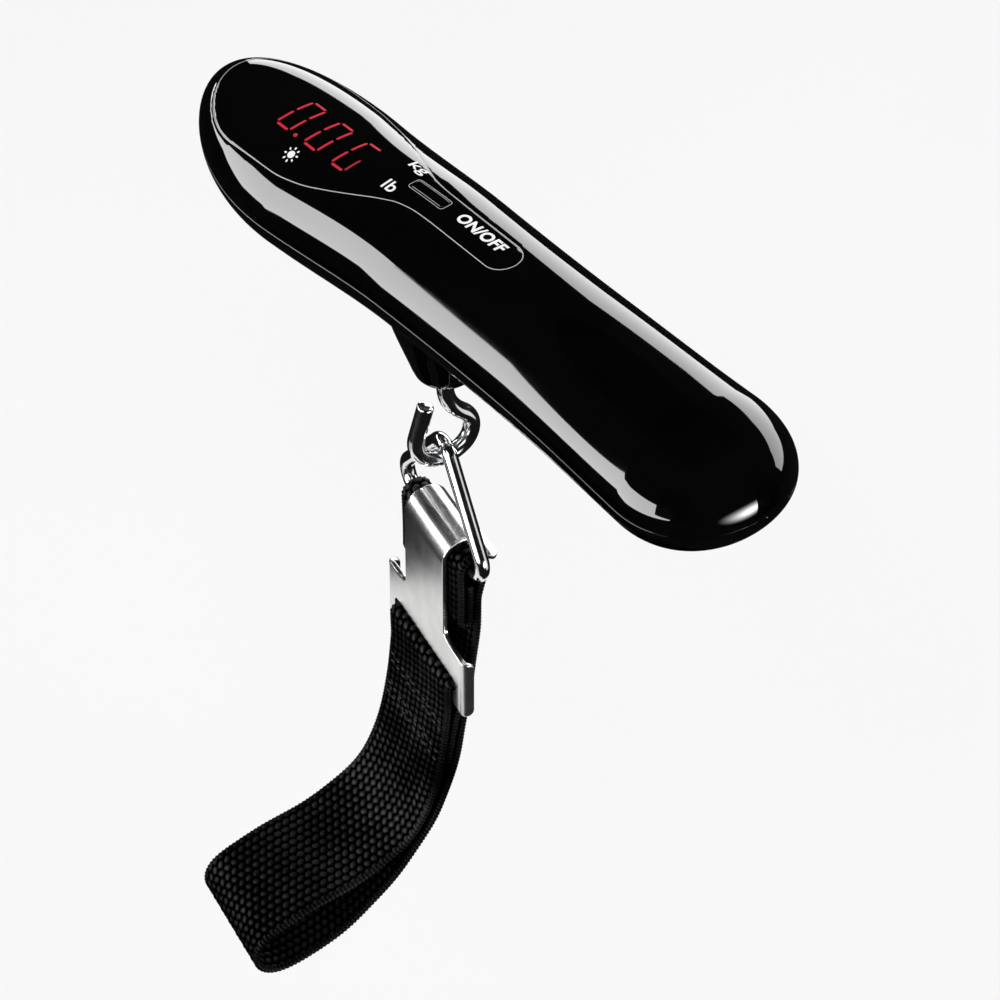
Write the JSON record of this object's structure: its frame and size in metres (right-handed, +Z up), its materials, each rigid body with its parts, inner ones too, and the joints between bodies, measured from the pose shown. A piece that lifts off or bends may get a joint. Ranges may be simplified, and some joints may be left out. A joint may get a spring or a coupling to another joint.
{
  "type": "digital luggage scale",
  "caption": "Hand-held digital luggage scale: waisted glossy housing with lit display and power key, swivelling wire hook, wire ring, steel clasp and looped webbing strap.",
  "frame": {"origin": "middle of the housing's length and width, on the seam between its two shells, where a hand grips it", "axes": "+X along the housing from the display end to the handle end, +Z up out of the display, +Y to the side that the display's figures have as their top; the hook, ring and strap hang along -Z"},
  "size_m": [0.1598, 0.0758, 0.1953],
  "materials": {
    "gloss_black": "piano-black polished ABS, very glossy",
    "panel_black": "dark smoked acrylic window with fine light outline and white legends",
    "matte_black": "moulded black ABS, fine matt texture",
    "led_module": "black LED module with red segments",
    "tin": "tinned pins",
    "board": "green glass-epoxy circuit board with solder mask",
    "steel": "zinc-plated steel",
    "chip": "moulded black epoxy",
    "aluminium": "machined aluminium",
    "gauge_film": "amber polyimide gauge film",
    "lead": "thin PVC-insulated wire",
    "cell": "plain grey printed sleeve with bare metal ends",
    "spring_nickel": "nickel-plated spring steel",
    "bush_bronze": "sintered bronze",
    "hook_chrome": "bright chrome-plated steel rod",
    "clasp_nickel": "nickel-plated spring-steel sheet, lightly brushed",
    "webbing_black": "black nylon webbing, coarse basket weave, sewn with black thread"
  },
  "bodies": {
    "housing": {"top_shell": "gloss_black", "bottom_shell": "gloss_black", "display_panel": "panel_black", "led_display": "led_module", "led_display_pins": "tin", "circuit_board": "board", "circuit_board_screws": "steel", "controller_chip": "chip", "switch_body": "chip", "load_cell_beam": "aluminium", "strain_gauges": "gauge_film", "gauge_leads": "lead", "load_frame": "steel", "load_cell_screws": "steel", "case_screws": "steel", "battery_holder": "matte_black", "aaa_cell_1": "cell", "aaa_cell_2": "cell", "cell_contacts": "spring_nickel", "contact_bridge": "spring_nickel", "battery_leads": "lead", "neck_bush": "bush_bronze"},
    "power_key": {"power_key": "panel_black", "switch_plunger": "chip"},
    "battery_door": {"battery_door": "gloss_black"},
    "hook": {"hook": "hook_chrome", "hook_nut": "steel", "hook_washer": "steel"},
    "ring": {"strap_ring": "hook_chrome"},
    "strap": {"clasp": "clasp_nickel", "webbing": "webbing_black"}
  },
  "joints": [
    {"name": "power_key_press", "type": "slide", "parent": "housing", "child": "power_key", "axis": [0, 0, -1], "range_m": [0, 0.0004], "stiffness_N_per_m": 400, "springref_m": -0.0003},
    {"name": "battery_door_lift", "type": "slide", "parent": "housing", "child": "battery_door", "axis": [0, 0, -1], "range_m": [0, 0.012]},
    {"name": "hook_swivel", "type": "hinge", "parent": "housing", "child": "hook", "pos_m": [-0.011, 0, -0.03], "axis": [0, 0, 1], "continuous": true},
    {"name": "ring_swing", "type": "hinge", "parent": "hook", "child": "ring", "pos_m": [-0.01109, -0.00039, -0.04905], "axis": [0.9744, -0.225, 0], "range_deg": [-45, 45]},
    {"name": "strap_swing", "type": "hinge", "parent": "ring", "child": "strap", "pos_m": [-0.01109, -0.00039, -0.0743], "axis": [0.9744, -0.225, 0], "range_deg": [-60, 60]}
  ]
}
